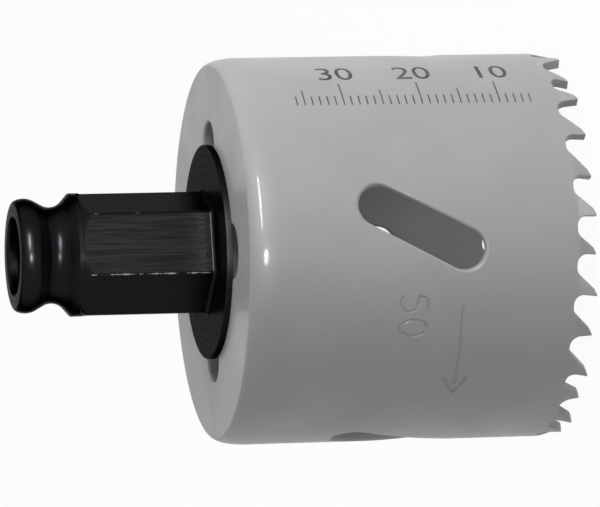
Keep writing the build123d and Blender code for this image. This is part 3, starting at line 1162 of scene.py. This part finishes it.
class BuildCap(bpy.types.Operator):
    """Makes the painted cap with its rounded corner, its step and its drive-pin holes"""

    bl_idname = "hole_saw.build_cap"
    bl_label = "Cap"

    def execute(self, context):
        cap, band = settings(context).cap, settings(context).band
        form = bmesh.new()
        top, low = FACE_HEIGHT, CAP_UNDERSIDE
        corner = (BODY_RADIUS - cap.corner_inset, top - cap.corner_height)
        step_radius = BODY_RADIUS - band.wall - cap.band_fit
        profile = []
        for x, z in arc((0, 0), 1, pi / 2, 0, 18):
            profile.append((corner[0] + x * cap.corner_inset, corner[1] + z * cap.corner_height))
        profile += [(BODY_RADIUS, BAND_TOP), (step_radius, BAND_TOP)]
        profile += [(step_radius, low + cap.edge_chamfer), (step_radius - cap.edge_chamfer, low)]
        rows = []
        for radius, height in profile:
            points = circle((0, 0), radius, height, CUP_STEPS)
            rows.append([form.verts.new(point) for point in points])
        bridge_rows(form, rows)
        edges = {z: ring_edges(form, row) for z, row in ((top, rows[0]), (low, rows[-1]))}

        bore = settings(context).adapter.thread_diameter / 2 + cap.thread_fit
        holes = [((0.0, 0.0), bore, cap.edge_chamfer)]
        for hole in range(cap.hole_count):
            turn = 2 * pi * hole / cap.hole_count - pi / 2
            centre = (cap.circle_diameter / 2 * cos(turn), cap.circle_diameter / 2 * sin(turn))
            holes.append((centre, cap.hole_diameter / 2, cap.hole_rounding))
        for centre, radius, rounding in holes:
            wall = []
            for depth, growth in rounded_wall(top - low, rounding):
                points = circle(centre, radius + growth, (top + low) / 2 + depth, HOLE_STEPS)
                wall.append([form.verts.new(point) for point in points])
            bridge_rows(form, wall)
            edges[top] += ring_edges(form, wall[0])
            edges[low] += ring_edges(form, wall[-1])
        for level in edges.values():
            bmesh.ops.triangle_fill(form, edges=level, use_beauty=True, use_dissolve=False)
        bmesh.ops.recalc_face_normals(form, faces=form.faces[:])

        piece = object_from("cap_disc", form)
        smooth(piece, SHARP_ENAMEL)
        enamel = shared_material("grey_enamel", enamel_material, settings(context).finish)
        finish_piece(piece, enamel, "end_cap")
        return {"FINISHED"}


class BuildAdapter(bpy.types.Operator):
    """Makes the black adapter with its flange, hexagon, snap groove, bore and threaded spigot"""

    bl_idname = "hole_saw.build_adapter"
    bl_label = "Adapter"

    def execute(self, context):
        adapter = settings(context).adapter
        form = bmesh.new()
        columns = adapter_columns(adapter)
        rows = []
        for place in adapter_rows(adapter):
            row = []
            for direction, turn in columns:
                radius, height = place(direction, turn)
                x, y = radius * cos(direction), radius * sin(direction)
                row.append(form.verts.new((x, y, height)))
            rows.append(row)
        bridge_rows(form, rows + [rows[0]])
        bmesh.ops.remove_doubles(form, verts=form.verts[:], dist=SAME_POINT)
        bmesh.ops.dissolve_degenerate(form, edges=form.edges[:], dist=SAME_POINT)
        bmesh.ops.recalc_face_normals(form, faces=form.faces[:])
        piece = object_from("quick_change_adapter", form)
        smooth(piece, SHARP_STEEL)
        finish = settings(context).finish
        turned, milled = (
            shared_material(name, oxide_material, finish, adapter, name, sheen)
            for name, sheen in (
                ("black_oxide_turned", TURNED_SHEEN),
                ("black_oxide_milled", MILLED_SHEEN),
            )
        )
        finish_piece(piece, turned, "adapter")
        piece.data.materials.append(milled)
        innermost = adapter.shank_diameter / 2 - 1.2 * MM
        flats_start = FACE_HEIGHT + adapter.flange_thickness + adapter.root_fillet
        for polygon in piece.data.polygons:
            place = polygon.center
            level = flats_start < place.z < flats_end(adapter)
            upright = abs(polygon.normal.z) < 0.02
            if level and upright and hypot(place.x, place.y) > innermost:
                polygon.material_index = 1
        return {"FINISHED"}


class PrintScale(bpy.types.Operator):
    """Prints a plain depth scale in millimetres along the cup"""

    bl_idname = "hole_saw.print_scale"
    bl_label = "Depth Scale"

    def execute(self, context):
        band, marks = settings(context).band, settings(context).marks
        rolling = shared_tree("roll_round_axis", rolling_group)
        ticks = shared_tree("scale_ticks", tick_tree, rolling)
        ink = shared_material("printed_ink", ink_material, settings(context).finish)
        base = (band.first_tip - marks.scale_direction) % (2 * pi) * mid_radius(band)
        first_number = round(marks.scale_bottom / marks.scale_step)

        form = bmesh.new()
        for number in range(first_number, first_number + marks.tick_count):
            if number % 10:
                continue
            digits = flat_digits(str(number), marks.digit_height, marks.ink)
            level = number * marks.scale_step
            foot = base - marks.long_tick - marks.digit_height * 0.25
            for vertex in digits.verts:
                across, up, out = vertex.co
                vertex.co = (foot - up, band.wall / 2 + out, level - across)
            mesh = bpy.data.meshes.new("digits")
            digits.to_mesh(mesh)
            digits.free()
            form.from_mesh(mesh)
            bpy.data.meshes.remove(mesh)
        places = [vertex.co.x for vertex in form.verts]
        cut_across(form, ROLLED_STEP, min(places), max(places))
        bmesh.ops.remove_doubles(form, verts=form.verts[:], dist=SAME_POINT)

        piece = object_from("depth_scale", form)
        values = {
            "Ticks": marks.tick_count,
            "Step": marks.scale_step,
            "Bottom": marks.scale_bottom,
            "Base Line": base,
            "Depth": band.wall / 2,
            "Line Width": marks.line,
            "Ink": marks.ink,
            "Short": marks.short_tick,
            "Middle": marks.middle_tick,
            "Long": marks.long_tick,
            "First Number": first_number,
            "Rolling Radius": mid_radius(band),
            "Start Angle": band.first_tip,
            "Material": ink,
        }
        run_tree(piece, ticks, values)
        finish_piece(piece, ink, None)
        return {"FINISHED"}


class SetStage(bpy.types.Operator):
    """Sets the floor, the studio light and the camera"""

    bl_idname = "hole_saw.set_stage"
    bl_label = "Stage"

    def execute(self, context):
        stage = settings(context).stage
        scene = context.scene
        scene.view_settings.view_transform = "Standard"
        self.add_camera(scene, stage)
        self.add_floor(stage)
        self.light_world(scene, stage)
        target = Vector((0, 0, FACE_HEIGHT / 2))
        for name, place, size, power, in_gloss in LAMPS:
            lamp = bpy.data.lights.new(name, "AREA")
            lamp.shape = "ELLIPSE"
            lamp.size, lamp.size_y = size
            lamp.energy = power
            holder = new_object(name, lamp)
            holder.location = place
            holder.visible_diffuse = not in_gloss
            holder.visible_glossy = in_gloss
            holder.rotation_euler = (target - Vector(place)).to_track_quat("-Z", "Y").to_euler()
        return {"FINISHED"}

    def add_camera(self, scene, stage):
        """Camera beside the saw, turned so that the saw's axis lies across the picture."""
        forward = Vector((0, cos(stage.elevation), -sin(stage.elevation)))
        along = Vector((0, -sin(stage.elevation), -cos(stage.elevation)))
        upwards = Vector((1, 0, 0))
        right = cos(stage.roll) * along - sin(stage.roll) * upwards
        up = sin(stage.roll) * along + cos(stage.roll) * upwards
        face = Vector((0, 0, FACE_HEIGHT))
        place = face - forward * stage.distance
        back = (place - (face + right * stage.aim_right - up * stage.aim_down)).normalized()
        right = (right - back * right.dot(back)).normalized()
        up = back.cross(right)
        lens = bpy.data.cameras.new("camera")
        lens.lens = lens.sensor_width * stage.focal_pixels / stage.picture_width
        lens.clip_start = 0.01
        lens.clip_end = 100
        camera = new_object("camera", lens)
        turn = Matrix((right, up, back)).transposed().to_4x4()
        camera.matrix_world = Matrix.Translation(place) @ turn
        scene.camera = camera

    def add_floor(self, stage):
        form = bmesh.new()
        half = stage.floor_size / 2
        corners = ((-half, -half), (half, -half), (half, half), (-half, half))
        form.faces.new([form.verts.new((x, y, 0)) for x, y in corners])
        floor = object_from("studio_floor", form)
        material, tree, shader, place = new_material("pale_floor", FLOOR_WHITE)
        shader.inputs["Base Color"].default_value = (*FLOOR_WHITE, 1)
        shader.inputs["Roughness"].default_value = 0.9
        shader.inputs["Specular IOR Level"].default_value = 0.0
        glow = add_node(tree, "ShaderNodeEmission", {"Color": (1, 1, 1, 1), "Strength": 1.0})
        seen = calculate(tree, "MULTIPLY", seen_rays(tree), stage.floor_glow)
        shaders = {0: seen, 1: shader.outputs[0], 2: glow.outputs[0]}
        mixed = add_node(tree, "ShaderNodeMixShader", shaders)
        output = next(node for node in tree.nodes if node.type == "OUTPUT_MATERIAL")
        tree.links.new(mixed.outputs[0], output.inputs[0])
        floor.data.materials.append(material)
        # Even light also reaches the inside of the cup from its open end
        floor.visible_diffuse = False

    def light_world(self, scene, stage):
        world = bpy.data.worlds.new("studio")
        world.use_nodes = True
        tree = world.node_tree
        tree.nodes.clear()
        seen = seen_rays(tree)
        strength = calculate(tree, "MULTIPLY_ADD", seen, 1.0 - stage.ambient, stage.ambient)
        sky = add_node(tree, "ShaderNodeBackground", {"Color": (1, 1, 1, 1), "Strength": strength})
        output = tree.nodes.new("ShaderNodeOutputWorld")
        tree.links.new(sky.outputs[0], output.inputs[0])
        scene.world = world


class StudioPanel(bpy.types.Panel):
    """Lists the steps that build the hole saw"""

    bl_idname = "VIEW3D_PT_hole_saw"
    bl_label = "Hole Saw"
    bl_space_type = "VIEW_3D"
    bl_region_type = "UI"
    bl_category = "Hole Saw"

    def draw(self, context):
        for step in STEPS:
            self.layout.operator(step.bl_idname)


GROUPS = (
    BandSettings,
    CapSettings,
    AdapterSettings,
    MarkSettings,
    FinishSettings,
    StageSettings,
    HoleSawSettings,
)
STEPS = (SetStage, BuildBand, BuildCap, BuildAdapter, PrintScale)


def register():
    for kind in (*GROUPS, *STEPS, StudioPanel):
        bpy.utils.register_class(kind)
    bpy.types.Scene.hole_saw = PointerProperty(type=HoleSawSettings)


def unregister():
    del bpy.types.Scene.hole_saw
    for kind in reversed((*GROUPS, *STEPS, StudioPanel)):
        bpy.utils.unregister_class(kind)


def main():
    register()
    bpy.ops.hole_saw.set_stage()
    bpy.ops.hole_saw.build_band()
    bpy.ops.hole_saw.build_cap()
    bpy.ops.hole_saw.build_adapter()
    bpy.ops.hole_saw.print_scale()


if __name__ == "__main__":
    main()
